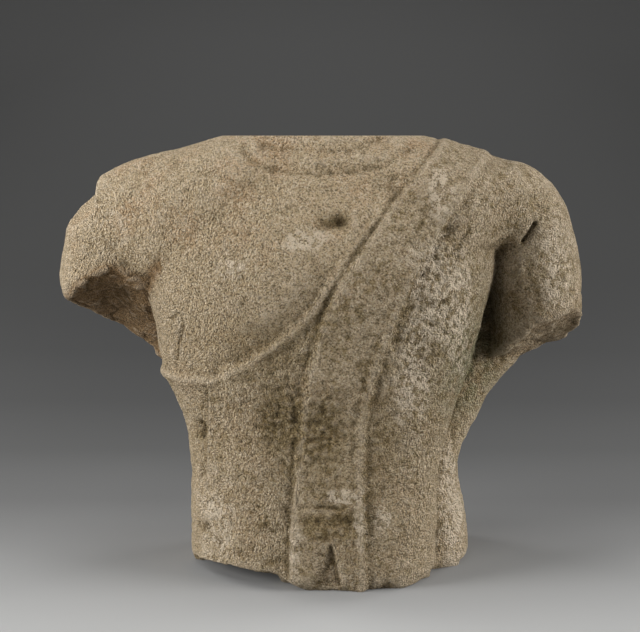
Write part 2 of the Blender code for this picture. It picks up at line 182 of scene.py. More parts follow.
# Stone lost in flat breaks, at the right shoulder, at the right of the foot and at the
# foot of the sash: a place on the break, the way it faces, its half sizes in its own
# plane, how square it is, its roughness, and how far its rim is rounded
SHOULDER_LOSS = ((-247, 8, 347.5), (-0.58, -0.22, 0.78), (62, 46), 2.0, 1.2, 4)
FOOT_LOSS = ((-97, -80, 17.5), (-0.155, -0.246, -0.957), (61, 62), 8.0, 1.8, 10)
SASH_LOSS = ((-24, -112, 6), (-0.60, -0.42, -0.68), (26, 20), 2.0, 0.8, 8)
LOSS_GRAIN, LOSS_MARGIN = 16, 3

# Carved lines, each from the shoulder down, as (across, height)
HEM_LINE = (
    (130, 446), (115, 424), (89, 398), (65, 369), (36, 336), (13, 299),
    (-18, 256), (-50, 230), (-79, 211), (-104, 200), (-144, 198), (-190, 196),
)
SASH_INNER_LINE = (
    (142, 448), (122, 427), (103, 408), (71, 371), (48, 338), (26, 308), (6, 269),
    (-6, 229), (-16, 185), (-21, 135), (-25, 90), (-28, 47), (-29, -20),
)
SASH_OUTER_LINE = (
    (184, 430), (166, 410), (148, 394), (128, 366), (105, 334), (89, 305), (74, 272),
    (60, 235), (49, 200), (42, 160), (40, 115), (41, 54), (44, -20),
)
BORDER_LINE = ((196, 420), (182, 403), (160, 380), (141, 350), (124, 318))
FOLD_LINE = ((132, 300), (112, 240), (94, 170), (82, 100), (76, -20))
NECK_LOW_LINE = (
    (-72, 416), (-62, 405), (-37, 397), (-5, 394.5), (28, 397), (59, 403), (82, 416),
)
NECK_HIGH_LINE = ((-52, 420), (-26, 416.5), (2, 415), (31, 417), (54, 427))
SIDE_LINE = ((-108, 194), (-110, 150), (-111, 100), (-113, 84))
HEM_BACK_LINE = (
    (130, 446), (112, 424), (80, 380), (30, 318), (-30, 262), (-90, 222),
    (-144, 200), (-190, 196),
)
SASH_BACK_INNER_LINE = (
    (142, 448), (120, 424), (103, 380), (92, 300), (86, 200), (82, 90), (82, -20),
)
SASH_BACK_OUTER_LINE = (
    (184, 430), (164, 408), (152, 350), (144, 260), (136, 180), (130, -20),
)

# Carving depths, widths and heights in drawn millimetres, and shares of them
HEM_RISE, HEM_WIDTH = 3.0, 4.8
HEM_HOLLOW, HEM_HOLLOW_WIDTH = 2.6, 11.0
HEM_HOLLOW_APART = 2.2
HEM_FLAT_FROM, HEM_FLAT_OVER = 305, 60
HEM_FLATTER, HEM_WIDER, HEM_LEAST_KEPT = 0.7, 0.9, 0.6
SASH_RISE, SASH_FOOT_RISE = 3.4, 8.0
SASH_EDGE, SASH_WORN_EDGE = 6.0, 10.0
SASH_WORN_LOW, SASH_WORN_LOW_OVER = 105, 40
SASH_WORN_HIGH, SASH_WORN_HIGH_OVER = 300, 60
SASH_THINS, SASH_THINS_OVER = 105, 90
SASH_OUTER_SHARE, ROBE_REACH = 0.55, 70
SASH_END_HEIGHT, SASH_END_DEPTH, SASH_END_SHORT = 81, 1.8, 4
GROOVE, GROOVE_WIDTH, GROOVE_APART = 2.5, 2.3, 0.6
GROOVE_WORN_FROM, GROOVE_WORN_OVER = 300, 60
GROOVE_GONE_MIDDLE, GROOVE_GONE_HIGH, GROOVE_GONE_LOW = 0.8, 0.7, 0.85
ROLL_RISE, ROLL_WIDTH, ROLL_TOP, ROLL_REACH = 1.8, 4.8, 270, 50
ROLL_GROOVE, ROLL_GROOVE_WIDTH = 1.0, 2.8
BACK_GROOVE = 1.6
VALLEY, VALLEY_WIDTH = 1.9, 7.0
BORDER_DEPTH, BORDER_WIDTH = 1.5, 5.0
FOLD_RISE, FOLD_WIDTH = 2.4, 15.0
CREASE, CREASE_WIDTH = 2.4, 5.2
SIDE_DEPTH, SIDE_FOOT, SIDE_TOP, SIDE_FADE = 2.2, 84, 190, 16
TAIL_APEX, TAIL_LEFT_FOOT, TAIL_RIGHT_FOOT = (11, 45), (-13, -6), (23, -6)
TAIL_DEPTH, TAIL_SLOPE, TAIL_FOOT, TAIL_FADE = 4.6, 14, 6, 14
SPINE_DEPTH, SPINE_WIDTH, SPINE_FOOT, SPINE_TOP, SPINE_FADE = 4.0, 20, 90, 340, 70

# Soft swellings and hollows: height, centre and reach, both across and up
RIGHT_BREAST = (6.0, (-60, 296), (78, 58))
BREAST_FADE = 4
FRONT_SWELLS = (
    (4.0, (112, 292), (60, 66)),
    (-3.5, (-70, 168), (60, 30)),
    (2.2, (8, 410), (78, 16)),
)
BACK_SWELLS = (
    (5.0, (-84, 318), (44, 50)),
    (4.0, (60, 318), (44, 50)),
)
ARM_HOLLOW = (
    (13.0, (170, 254), (11, 38)),
    (-7.0, (184, 304), (16, 34)),
    (-8.0, (176, 284), (12, 24)),
    (8.0, (176, 334), (20, 20)),
    (6.0, (172, 350), (26, 30)),
)

# Dents and knocks on the front: depth, centre and reach, both across and up
DENTS = (
    (-4.2, (11, 349), (14, 10)),
    (-4.2, (20, 352), (6, 5)),
    (2.4, (31, 351), (5, 10)),
    (-4.0, (-120, 142), (8, 12)),
    (-2.6, (-117, 104), (4, 7)),
    (-1.4, (201, 389), (6, 4)),
    (-5.0, (-113, 48), (8, 6)),
    (-4.0, (-103, 37), (9, 6)),
    (-2.4, (-76, 31), (9, 5)),
    (-2.0, (-43, 27), (8, 5)),
    (-2.2, (-5, 68), (12, 6)),
    (-2.2, (24, 67), (12, 6)),
    (1.8, (60, 70), (5, 8)),
    (-1.5, (-40, 145), (14, 22)),
    (-1.8, (2, 152), (16, 14)),
    (1.5, (24, 94), (9, 5)),
)

# Narrow cuts and cracks, from end to end, with their depth and width
CUTS = (
    (((207, 346), (203, 338), (196, 328)), 4.5, 2.0),
    (((-140, 257), (-132, 263), (-129, 251), (-135, 233), (-140, 216)), 2.2, 2.2),
    (((-3, 80), (8, 81), (17, 79)), 1.6, 2.0),
    (((-52, 61), (-44, 55), (-36, 57)), 1.2, 1.8),
    (((-119, 151), (-117, 144), (-121, 136)), 4.0, 3.4),
    (((-119, 110), (-117, 103), (-121, 96)), 2.6, 2.6),
)

# Places where the surface has gone rough: strength, centre and reach, across and up
ERODED = (
    (1.0, (-38, 168), (30, 48)),
    (0.8, (4, 150), (28, 52)),
    (0.6, (-112, 120), (12, 70)),
    (0.7, (-134, 238), (14, 34)),
    (0.5, (60, 250), (40, 70)),
    (0.6, (10, 60), (34, 30)),
    (0.9, (108, 290), (30, 80)),
    (0.6, (90, 120), (40, 80)),
    (1.0, (160, 190), (22, 60)),
)
ERODED_GRAIN, ERODED_DEPTH, ERODED_SEED = 6.0, 2.0, 8
ERODED_LEVEL, ERODED_LEAST = 0.25, 0.05

# The worn rims of the neck cut and of the foot: how far in, over what height, the share
# of each, how far the foot's goes on below it, and how uneven it is
RIM_WORN, NECK_RIM, FOOT_RIM = 5.0, 4.0, 15.0
NECK_SHARE, FOOT_SHARE, BELOW_FOOT = 0.5, 1.3, 1.3
RIM_UNEVEN, RIM_LUMPS, RIM_SEED = 0.9, 16, 5

# Where the front carving gives way to the back carving, and over what depth
TURN, TURN_DEPTH = 5, 40

# Weathering: (size of the lumps, their height) in drawn millimetres
WEATHERING = ((46, 1.3), (17, 0.9), (6.5, 0.65))
SEED_SHIFT = (13.7, 7.1, 3.3)

# Round pits, and their depth, width and reach as shares of their size
PIT_COUNT, PIT_SEED, PIT_SIZES = 260, 11, (1.6, 4.2)
PIT_DEPTH, PIT_WIDTH, PIT_REACH = 0.34, 0.8, 2.5

# How much of the narrow lines the weather has left: the middle, swing and least share,
# the size of the worn places, and the share that is lost towards the foot
KEPT_MIDDLE, KEPT_SWING, KEPT_LEAST = 0.62, 0.9, 0.12
WEAR_SIZE, WEAR_SEED = 26, 6
FOOT_WEAR, FOOT_WEAR_BELOW, FOOT_WEAR_OVER = 0.5, 110, 60

# Broken faces: how far they reach from the break, their facets and their lumps
BREAK_FACE, BREAK_FADE = 6, 8
FACET_SIZE, FACET_DEPTH, FACET_SHUFFLE = 21, 2.0, 7.3
BREAK_LUMPS, BREAK_LUMP_DEPTH, BREAK_SEED = 7, 0.8, 7

# The camera, in metres from the drawing's axis and above the floor, then the photo's size,
# its focal length and the row of its neck cut in pixels, and the sensor in millimetres
VIEW_DISTANCE, VIEW_HEIGHT = 1.25, 0.4287
IMAGE_WIDTH, IMAGE_HEIGHT = 640, 632
FOCAL_PIXELS, NECK_PIXEL = 1250, 136
SENSOR_WIDTH = 36.0


def deselect_all():
    bpy.ops.object.select_all(action="DESELECT")


def make_active(obj):
    deselect_all()
    obj.select_set(True)
    bpy.context.view_layer.objects.active = obj


def add_modifier(obj, kind, **settings):
    """Adds a modifier with its settings and applies it at once."""
    make_active(obj)
    bpy.ops.object.modifier_add(type=kind)
    modifier = obj.modifiers[-1]
    for setting, value in settings.items():
        setattr(modifier, setting, value)
    bpy.ops.object.modifier_apply(modifier=modifier.name)


# Form of the block


def spline(known, values, at):
    """Values at the places `at` of one smooth curve through (known, values)."""
    known = np.asarray(known, float)
    values = np.asarray(values, float)
    slopes = np.gradient(values, known)
    at = np.clip(at, known[0], known[-1])
    i = np.clip(np.searchsorted(known, at) - 1, 0, len(known) - 2)
    step = known[i + 1] - known[i]
    t = (at - known[i]) / step
    return (
        (2 * t**3 - 3 * t**2 + 1) * values[i]
        + (t**3 - 2 * t**2 + t) * step * slopes[i]
        + (3 * t**2 - 2 * t**3) * values[i + 1]
        + (t**3 - t**2) * step * slopes[i + 1]
    )


def stations(lines):
    """The drawn lines read off at even gaps: first column, then the others."""
    table = np.array(lines, float)
    count = int(np.ptp(table[:, 0]) / RING_GAP) + 2
    at = np.linspace(table[0, 0], table[-1, 0], count)
    return [at] + [spline(table[:, 0], column, at) for column in table.T[1:]]


def rounded(squareness):
    """Cosines and sines of a superellipse, once round."""
    turn = np.linspace(0, 2 * np.pi, RING_SIDES, endpoint=False)
    power = 2 / squareness
    cos, sin = np.cos(turn), np.sin(turn)
    return (
        np.sign(cos) * np.abs(cos) ** power,
        np.sign(sin) * np.abs(sin) ** power,
    )


def new_object(name, bm):
    """A linked object that takes over the mesh being edited, facing outwards."""
    bmesh.ops.recalc_face_normals(bm, faces=bm.faces)
    mesh = bpy.data.meshes.new(name)
    bm.to_mesh(mesh)
    bm.free()
    obj = bpy.data.objects.new(name, mesh)
    bpy.context.scene.collection.objects.link(obj)
    return obj


def lofted(name, rings):
    """A closed skin over the rings, which are (sides, 3) arrays in metres."""
    bm = bmesh.new()
    rows = [[bm.verts.new(point) for point in ring] for ring in rings]
    for low, high in zip(rows, rows[1:]):
        for i in range(RING_SIDES):
            j = (i + 1) % RING_SIDES
            bm.faces.new((low[i], low[j], high[j], high[i]))
    bm.faces.new(rows[0][::-1])
    bm.faces.new(rows[-1])
    return new_object(name, bm)


def trunk():
    """Waist, ribs and chest up to the neck."""
    rings = []
    for z, right, left, front, back, square_right, square_left in zip(
        *stations(TRUNK_LINES)
    ):
        cos_right, sin_right = rounded(square_right)
        cos_left, sin_left = rounded(square_left)
        x = np.where(cos_right < 0, right * cos_right, left * cos_left)
        sin = np.where(cos_right < 0, sin_right, sin_left)
        y = np.where(sin < 0, front, back) * sin
        rings.append(np.stack([x * ACROSS, y * DEEP, np.full_like(x, z * UP)], axis=1))
    return lofted("trunk", rings)


def yoke():
    """The slope from the neck over both shoulders."""
    cos, sin = rounded(YOKE_SQUARENESS)
    rings = []
    for x, top, bottom, front, back in zip(*stations(YOKE_LINES)):
        y = np.where(cos < 0, front, back) * cos
        z = (top + bottom) / 2 + (top - bottom) / 2 * sin
        rings.append(np.stack([np.full_like(y, x * ACROSS), y * DEEP, z * UP], axis=1))
    return lofted("yoke", rings)


def upright(name, lines, squareness, side, inner=None):
    """Level rings between an inner and an outer side. Side is -1 or +1."""
    if inner is not None:
        lines = [(row[0], inner) + row[1:] for row in lines]
    cos, sin = rounded(squareness)
    rings = []
    for z, near, far, front, back in zip(*stations(lines)):
        x = side * ((near + far) / 2 + (far - near) / 2 * cos)
        y = (back - front) / 2 + (back + front) / 2 * sin
        rings.append(np.stack([x * ACROSS, y * DEEP, np.full_like(x, z * UP)], axis=1))
    return lofted(name, rings)


def roughness(x, y, z, depth, grain):
    """Broken stone: a height that wanders by about `depth`, over lumps of size `grain`."""
    place = Vector((x, y, z)) / grain
    return depth * noise.fractal(place, ROUGH_FADE, ROUGH_FINER, ROUGH_LAYERS)


def break_height(edges, x, y):
    """Height of the underside of a broken arm, front to back and side to side."""
    front_line, back_line = (sorted(edge) for edge in edges)
    front = spline(*zip(*front_line), x)
    back = spline(*zip(*back_line), x)
    share = (y - BREAK_FRONT) / (BREAK_BACK - BREAK_FRONT)
    return front + (back - front) * np.clip(share, -CUTTER_PAST, 1 + CUTTER_PAST)


def arm_break(name, edges, side):
    """The space below a broken arm: a block whose rough top is the face of the break."""
    count = int(BREAK_REACH / BREAK_CELL)
    near, far = CUTTER_INNER * BREAK_REACH, BREAK_REACH
    bm = bmesh.new()
    rows = []
    for i in range(count + 1):
        x = side * (near + (far - near) * i / count)
        row = []
        for j in range(count + 1):
            y = BREAK_REACH * (j / count - 0.5)
            z = float(break_height(edges, x, y))
            z += roughness(x, y, z, BREAK_ROUGH, BREAK_GRAIN)
            row.append(bm.verts.new((x * ACROSS, y * DEEP, z * UP)))
        rows.append(row)
    for row, following in zip(rows, rows[1:]):
        for a, b, c, d in zip(row, following, following[1:], row[1:]):
            bm.faces.new((a, b, c, d))
    rim = bmesh.ops.extrude_edge_only(bm, edges=[e for e in bm.edges if e.is_boundary])
    for part in rim["geom"]:
        if isinstance(part, bmesh.types.BMVert):
            part.co.z = -CUTTER_DROP * HEIGHT
    open_edges = [
        e for e in rim["geom"] if isinstance(e, bmesh.types.BMEdge) and e.is_boundary
    ]
    bmesh.ops.contextual_create(bm, geom=open_edges)
    return new_object(name, bm)


# Carving


def drawn(points):
    """Even points along one smooth curve through the drawn points."""
    points = np.array(points, float)
    run = np.append(0, np.cumsum(np.hypot(*np.diff(points, axis=0).T)))
    at = np.linspace(0, run[-1], int(run[-1] / LINE_GAP) + 2)
    return np.stack([spline(run, column, at) for column in points.T], axis=1)


def beside(line, x, z):
    """Distance from a drawn line, positive towards the figure's left or below it."""
    points = drawn(line)
    nearest = np.full(x.shape, np.inf, np.float32)
    side = np.ones(x.shape, np.float32)
    for (x0, z0), (x1, z1) in zip(points, points[1:]):
        run_x, run_z = x1 - x0, z1 - z0
        share = ((x - x0) * run_x + (z - z0) * run_z) / (run_x**2 + run_z**2)
        share = np.clip(share, 0, 1)
        off_x, off_z = x - x0 - share * run_x, z - z0 - share * run_z
        apart = off_x**2 + off_z**2
        closer = apart < nearest
        nearest = np.where(closer, apart, nearest)
        side = np.where(closer, np.sign(run_x * off_z - run_z * off_x), side)
    return side * np.sqrt(nearest)


def ridge(distance, width):
    """A rounded crest of height 1 along distance 0."""
    return np.exp(-((distance / width) ** 2))


def rise(distance, width):
    """Goes from 0 to 1 over `width`, half way at distance 0."""
    t = np.clip(distance / width + 0.5, 0, 1)
    return t * t * (3 - 2 * t)


def swell(shape, x, z):
    """A soft swelling or hollow about its centre."""
    height, centre, reach = shape
    return height * np.exp(
        -(((x - centre[0]) / reach[0]) ** 2) - ((z - centre[1]) / reach[1]) ** 2
    )


def hem(edge, z, kept):
    """The rolled edge of the robe, flatter at the shoulder, and the dip above it."""
    flat = rise(z - HEM_FLAT_FROM, HEM_FLAT_OVER)
    left = HEM_LEAST_KEPT + (1 - HEM_LEAST_KEPT) * kept
    height = HEM_RISE * left * (1 - HEM_FLATTER * flat)
    width = HEM_WIDTH * (1 + HEM_WIDER * flat * (edge < 0))
    depth = HEM_HOLLOW * (1 - HEM_FLATTER * flat)
    dip = edge + HEM_HOLLOW_APART * HEM_WIDTH
    return height * ridge(edge, width) - depth * ridge(dip, HEM_HOLLOW_WIDTH)


def sash(inner, outer, z, kept):
    """The folded sash, thicker at its foot, with a roll along its outer edge.

    `kept` is how much of the narrow lines the weather has left, from 0 to 1.
    """
    thins = rise(z - SASH_THINS, SASH_THINS_OVER)
    thick = SASH_FOOT_RISE + (SASH_RISE - SASH_FOOT_RISE) * thins
    worn = rise(z - SASH_WORN_LOW, SASH_WORN_LOW_OVER)
    worn *= rise(SASH_WORN_HIGH - z, SASH_WORN_HIGH_OVER)
    edge = rise(inner, SASH_EDGE) * (1 - worn) + rise(inner, SASH_WORN_EDGE) * worn
    beyond = 1 - (1 - SASH_OUTER_SHARE) * rise(outer, 2 * SASH_EDGE)
    fading = 1 - rise(outer - ROBE_REACH / 2, ROBE_REACH)
    low = rise(ROLL_TOP - z, ROLL_REACH)
    relief = thick * edge * beyond * fading
    left = kept * (1 - GROOVE_GONE_MIDDLE * worn)
    left *= 1 - GROOVE_GONE_HIGH * rise(z - GROOVE_WORN_FROM, GROOVE_WORN_OVER)
    left *= 1 - GROOVE_GONE_LOW * rise(SASH_WORN_LOW - z, SASH_WORN_LOW_OVER)
    relief -= GROOVE * ridge(inner + GROOVE_APART * SASH_EDGE, GROOVE_WIDTH) * left
    relief += ROLL_RISE * ridge(outer + ROLL_WIDTH / 2, ROLL_WIDTH)
    relief -= VALLEY * ridge(outer - ROLL_WIDTH, VALLEY_WIDTH) * (1 - low)
    for gap in (outer - ROLL_WIDTH, outer + 2 * ROLL_WIDTH):
        relief -= ROLL_GROOVE * ridge(gap, ROLL_GROOVE_WIDTH) * low * kept
    return relief


def sash_end(inner, outer, z, kept):
    """The level crease where the end of the sash hangs over its lower fold."""
    across = rise(inner - SASH_EDGE, SASH_EDGE)
    across *= rise(-outer - SASH_END_SHORT * ROLL_WIDTH, SASH_EDGE)
    return -SASH_END_DEPTH * ridge(z - SASH_END_HEIGHT, GROOVE_WIDTH) * across * kept


def cuts(x, z):
    """Narrow cuts and cracks, which stop at the ends of their lines."""
    relief = np.zeros(x.shape)
    for line, depth, width in CUTS:
        relief = np.maximum(relief, depth * ridge(beside(line, x, z), width))
    return -relief


def fishtail(x, z):
    """The hollow between the two tails at the foot of the sash."""
    left = beside((TAIL_APEX, TAIL_LEFT_FOOT), x, z)
    right = beside((TAIL_APEX, TAIL_RIGHT_FOOT), x, z)
    below = rise(TAIL_APEX[1] - z, GROOVE_WIDTH) * rise(z - TAIL_FOOT, TAIL_FADE)
    hollow = rise(left, TAIL_SLOPE) * rise(-right, GROOVE_WIDTH)
    return -below * (TAIL_DEPTH * hollow + ROLL_GROOVE * ridge(right, GROOVE_WIDTH))


def side_strip(x, z):
    """The set-back strip down the figure's right side below the hem."""
    strip = rise(-beside(SIDE_LINE, x, z), GROOVE_WIDTH)
    return -SIDE_DEPTH * strip * rise(z - SIDE_FOOT, SIDE_FADE) * rise(SIDE_TOP - z, SIDE_FADE)


def front_relief(x, z, edges, kept):
    """Height of the carving on the chest side."""
    bare = rise(-edges["hem"] - HEM_WIDTH, BREAST_FADE * HEM_WIDTH)
    relief = swell(RIGHT_BREAST, x, z) * bare
    relief += sum(swell(shape, x, z) for shape in FRONT_SWELLS + DENTS)
    relief += hem(edges["hem"], z, kept) + sash(edges["inner"], edges["outer"], z, kept)
    relief += sash_end(edges["inner"], edges["outer"], z, kept)
    relief += fishtail(x, z) + side_strip(x, z) + cuts(x, z)
    relief -= BORDER_DEPTH * ridge(beside(BORDER_LINE, x, z), BORDER_WIDTH)
    relief += FOLD_RISE * ridge(beside(FOLD_LINE, x, z), FOLD_WIDTH)
    for line in (NECK_LOW_LINE, NECK_HIGH_LINE):
        relief -= CREASE * ridge(beside(line, x, z), CREASE_WIDTH)
    return relief


def back_relief(x, z, kept):
    """Height of the plainer carving on the back."""
    inner = beside(SASH_BACK_INNER_LINE, x, z)
    outer = beside(SASH_BACK_OUTER_LINE, x, z)
    relief = hem(beside(HEM_BACK_LINE, x, z), z, kept)
    relief += sum(swell(shape, x, z) for shape in BACK_SWELLS)
    spine = rise(z - SPINE_FOOT, SPINE_FADE) * rise(SPINE_TOP - z, SPINE_FADE)
    relief -= SPINE_DEPTH * ridge(x, SPINE_WIDTH) * spine
    relief += SASH_RISE * rise(inner, SASH_EDGE) * rise(-outer, SASH_EDGE)
    for edge in (-inner, outer):
        groove = ridge(edge - GROOVE_APART * SASH_EDGE, ROLL_GROOVE_WIDTH)
        relief -= BACK_GROOVE * groove * kept
    return relief


def arm_hollow(x, y, z):
    """How far back the deep hollow between the chest and the left arm is cut."""
    return sum(swell(shape, x, z) for shape in ARM_HOLLOW) * rise(TURN - y, TURN_DEPTH)


def above_break(x, y, z):
    """How far a point is above the nearer arm's break, large away from both arms."""
    right = z - break_height(RIGHT_BREAK, x, y)
    left = z - break_height(LEFT_BREAK, x, y)
    far = np.full(x.shape, FAR_FROM_BREAK)
    near_arm = np.where(x < RIGHT_ARM_FROM, right, np.where(x > LEFT_ARM_FROM, left, far))
    return np.where(z < ARMS_ABOVE, far, near_arm)


def places(mesh):
    """The mesh's points, as an array in metres."""
    points = np.empty(3 * len(mesh.vertices), np.float32)
    mesh.vertices.foreach_get("co", points)
    return points.reshape(-1, 3).astype(float)


def coordinates(mesh):
    """The mesh's points, as an array in drawn millimetres."""
    return places(mesh) / np.array(SCALE)


def move_points(mesh, points):
    mesh.vertices.foreach_set("co", (points * np.array(SCALE)).ravel())
    mesh.update()


def outward(mesh):
    """The directions that the mesh faces at its points."""
    normals = np.empty(3 * len(mesh.vertices), np.float32)
    mesh.vertex_normals.foreach_get("vector", normals)
    return normals.reshape(-1, 3).astype(float)


def lumps(points, size, seed):
    """Smooth noise from about -1 to 1, with lumps of that size."""
    shift = Vector([seed * part for part in SEED_SHIFT])
    return np.array([noise.noise(Vector(p) / size + shift) for p in points])


def lose_piece(points, loss):
    """Presses the stone outside a flat break back to its rough face."""
    place, facing, half_sizes, square, rough, rim = loss
    facing = Vector(facing).normalized()
    sideways = Vector((0, 1, 0)) if abs(facing.x) > 0.5 else Vector((1, 0, 0))
    level = facing.cross(sideways).cross(facing).normalized()
    steep = facing.cross(level)
    apart = points - np.array(place)
    outside = apart @ np.array(facing)
    along = np.abs(apart @ np.array(level)) / half_sizes[0]
    down = np.abs(apart @ np.array(steep)) / half_sizes[1]
    inside = (1 - (along**square + down**square) ** (1 / square)) * min(half_sizes)
    near = np.flatnonzero((outside > -LOSS_MARGIN * rough) & (inside > -rim))
    face = np.array([roughness(*points[i], rough, LOSS_GRAIN) for i in near])
    lost = np.maximum(outside[near] - face, 0) * rise(inside[near], rim)
    points[near] -= lost[:, None] * np.array(facing)


def facets(points):
    """The split faces of broken stone: flat patches, each tilted its own way."""
    height = np.zeros(len(points))
    for i, point in enumerate(points):
        place = Vector(point) / FACET_SIZE
        centre = noise.voronoi(place)[1][0]
        height[i] = noise.cell_vector(FACET_SHUFFLE * centre).dot(place - centre)
    return height


def worn_rims(points):
    """Rounds the rim of the foot, and a little that of the neck cut."""
    z = points[:, 2]
    neck = np.clip((z - (DRAWN.z - NECK_RIM)) / NECK_RIM, 0, 1)
    foot = np.clip((FOOT_RIM - z) / FOOT_RIM, 0, BELOW_FOOT)
    near = np.flatnonzero((neck > 0) | (foot > 0))
    uneven = 1 + RIM_UNEVEN * lumps(points[near], RIM_LUMPS, RIM_SEED)
    worn = NECK_SHARE * neck[near] ** 2 + FOOT_SHARE * foot[near] ** 2 * uneven
    inwards = RIM_WORN * worn
    across = np.linalg.norm(points[near, :2], axis=1)
    points[near, :2] *= (1 - inwards / across)[:, None]


def pits(points, normals):
    """Small round pits, scattered over the whole block by a fixed draw."""
    draw = np.random.default_rng(PIT_SEED)
    depth = np.zeros(len(points))
    chosen = draw.integers(0, len(points), PIT_COUNT)
    for place, size in zip(points[chosen], draw.uniform(*PIT_SIZES, PIT_COUNT)):
        near = np.flatnonzero(np.abs(points - place).max(axis=1) < PIT_REACH * size)
        apart = np.linalg.norm(points[near] - place, axis=1)
        pit = PIT_DEPTH * size * ridge(apart, PIT_WIDTH * size)
        depth[near] = np.maximum(depth[near], pit)
    return points - normals * depth[:, None]


def block():
    """Trunk, shoulders and arm stumps, joined into one skin and blended."""
    arms = [
        upright("right_arm", RIGHT_ARM_LINES, ARM_SQUARENESS, -1),
        upright("right_web", RIGHT_WEB_LINES, WEB_SQUARENESS, -1, WEB_INNER),
        upright("left_arm", LEFT_ARM_LINES, ARM_SQUARENESS, +1),
    ]
    for obj in arms:
        edges, side = (LEFT_BREAK, +1) if obj.name == "left_arm" else (RIGHT_BREAK, -1)
        cutter = arm_break("arm_break", edges, side)
        add_modifier(obj, "BOOLEAN", operation="DIFFERENCE", object=cutter)
        bpy.data.objects.remove(cutter)
    left_web = upright("left_web", LEFT_WEB_LINES, WEB_SQUARENESS, +1, WEB_INNER)
    pieces = [trunk(), yoke(), left_web] + arms
    make_active(pieces[0])
    for obj in pieces:
        obj.select_set(True)
    bpy.ops.object.join()
    stone = bpy.context.view_layer.objects.active
    stone.name = stone.data.name = "sandstone_torso"
    add_modifier(stone, "REMESH", mode="VOXEL", voxel_size=VOXEL)
    points = coordinates(stone.data)
    soft = rise(np.abs(above_break(*points.T)) - BREAK_EDGE, BREAK_EDGE)
    group = stone.vertex_groups.new(name="soft")
    for step in range(SOFT_STEPS + 1):
        chosen = np.flatnonzero(np.round(soft * SOFT_STEPS) == step).tolist()
        group.add(chosen, max(step / SOFT_STEPS, BREAK_SOFT), "REPLACE")
    add_modifier(stone, "SMOOTH", iterations=BLEND_PASSES, vertex_group="soft")
    stone.vertex_groups.clear()
    return stone


def carve(stone):
    """Moves the points of the smooth block out or in by carving, breaks and weather."""
    mesh = stone.data
    points, normals = coordinates(mesh), outward(mesh)
    x, y, z = points.T
    edges = {
        "hem": beside(HEM_LINE, x, z),
        "inner": beside(SASH_INNER_LINE, x, z),
        "outer": beside(SASH_OUTER_LINE, x, z),
    }
    behind = rise(y - TURN, TURN_DEPTH)
    kept = KEPT_MIDDLE + KEPT_SWING * lumps(points, WEAR_SIZE, WEAR_SEED)
    kept = np.clip(kept, KEPT_LEAST, 1)
    kept *= 1 - FOOT_WEAR * rise(FOOT_WEAR_BELOW - z, FOOT_WEAR_OVER)
    front = front_relief(x, z, edges, kept)
    relief = (1 - behind) * front + behind * back_relief(x, z, kept)
    hollow = arm_hollow(x, y, z)
    for seed, (size, height) in enumerate(WEATHERING):
        relief += height * lumps(points, size, seed)
    rough = sum(swell(shape, x, z) for shape in ERODED) * (1 - behind)
    eroded = np.flatnonzero(rough > ERODED_LEAST)
    gone = lumps(points[eroded], ERODED_GRAIN, ERODED_SEED) - ERODED_LEVEL
    relief[eroded] += ERODED_DEPTH * rough[eroded] * gone
    broken = 1 - rise(np.abs(above_break(x, y, z)) - BREAK_FACE, BREAK_FADE)
    split = np.flatnonzero(broken > 0)
    relief[split] += broken[split] * FACET_DEPTH * facets(points[split])
    uneven = lumps(points[split], BREAK_LUMPS, BREAK_SEED)
    relief[split] += broken[split] * BREAK_LUMP_DEPTH * uneven
    points += normals * relief[:, None]
    points[:, 1] += hollow
    for loss in (SHOULDER_LOSS, FOOT_LOSS, SASH_LOSS):
        lose_piece(points, loss)
    worn_rims(points)
    points = pits(points, normals)
    move_points(mesh, points)


def level_cut(stone, height, above):
    """Cuts the block off flat at a height and closes it there."""
    make_active(stone)
    bpy.ops.object.mode_set(mode="EDIT")
    bpy.ops.mesh.select_all(action="SELECT")
    bpy.ops.mesh.bisect(
        plane_co=(0, 0, height), plane_no=(0, 0, 1), use_fill=True,
        clear_outer=above, clear_inner=not above,
    )
    bpy.ops.object.mode_set(mode="OBJECT")


def standing_place():
    """Where the drawing's upright axis meets the ground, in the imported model's frame."""
    middle = (LOW + HIGH) / 2
    return (middle.x + AXIS.x * ACROSS, middle.y + AXIS.y * DEEP, LOW.z)


def torso():
    """The finished block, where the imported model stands."""
    stone = block()
    carve(stone)
    add_modifier(stone, "SMOOTH", iterations=SOFTEN_PASSES)
    stone.data.calc_loop_triangles()
    ratio = MOST_TRIANGLES / len(stone.data.loop_triangles)
    if ratio < 1:
        add_modifier(stone, "DECIMATE", ratio=ratio)
    level_cut(stone, 0.0, above=False)
    level_cut(stone, HEIGHT, above=True)
    stone.data.transform(Matrix.Translation(Vector(standing_place())))
    make_active(stone)
    bpy.ops.object.shade_smooth()
    return stone


# Shader expressions


class Socket:
    """A value or colour in a shader, so that shader maths reads as an expression."""

    def __init__(self, shader, output):
        self.shader = shader
        self.output = output

    def _math(self, operation, *values):
        return self.shader.node("ShaderNodeMath", {"operation": operation}, values)

    def __add__(self, other):
        return self._math("ADD", self, other)

    def __sub__(self, other):
        return self._math("SUBTRACT", self, other)

    def __rsub__(self, other):
        return self._math("SUBTRACT", other, self)

    def __mul__(self, other):
        return self._math("MULTIPLY", self, other)

    def __truediv__(self, other):
        return self._math("DIVIDE", self, other)

    __radd__ = __add__
    __rmul__ = __mul__

    def step(self, low, high):
        """0 below `low`, 1 above `high`, smooth between."""
        return self.shader.node(
            "ShaderNodeMapRange",
            {"interpolation_type": "SMOOTHSTEP", "clamp": True},
            {"Value": self, "From Min": low, "From Max": high},
        )

    def below(self, level, over, strength):
        """0 from a level upwards, and the strength from `over` below it downwards."""
        return (level - self).step(0.0, over) * strength

    def above(self, level, over, strength):
        """0 from a level downwards, and the strength from `over` above it upwards."""
        return (self - level).step(0.0, over) * strength


